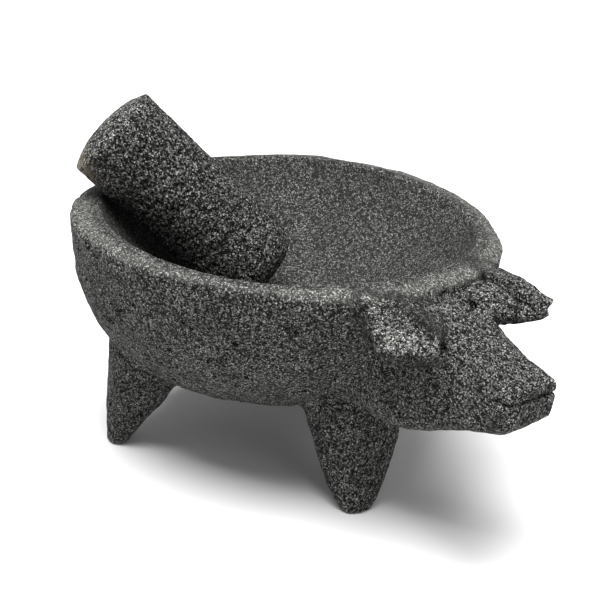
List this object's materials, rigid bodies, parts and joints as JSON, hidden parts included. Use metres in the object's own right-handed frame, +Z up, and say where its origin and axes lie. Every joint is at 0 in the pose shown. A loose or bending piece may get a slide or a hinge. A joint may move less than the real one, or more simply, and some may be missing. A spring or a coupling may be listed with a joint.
{
  "type": "mortar and pestle",
  "caption": "Three-legged stone grinding bowl with an animal's head and ears on its front, and a loose stubby stone pestle leaning in it.",
  "frame": {"origin": "on the floor, midway between the three feet", "axes": "+X points forwards along the animal's head, +Y to the animal's left, +Z up"},
  "size_m": [0.249, 0.197, 0.1684],
  "materials": {
    "mortar_stone": "matt, pitted grey volcanic rock",
    "pestle_stone": "matt, coarsely pitted grey volcanic rock"
  },
  "bodies": {
    "mortar": {"mortar": "mortar_stone"},
    "tejolote": {"tejolote": "pestle_stone"}
  },
  "joints": [
    {"name": "tejolote_lift", "type": "slide", "parent": "mortar", "child": "tejolote", "axis": [0, 0, 1], "range_m": [0, 0.07]}
  ]
}
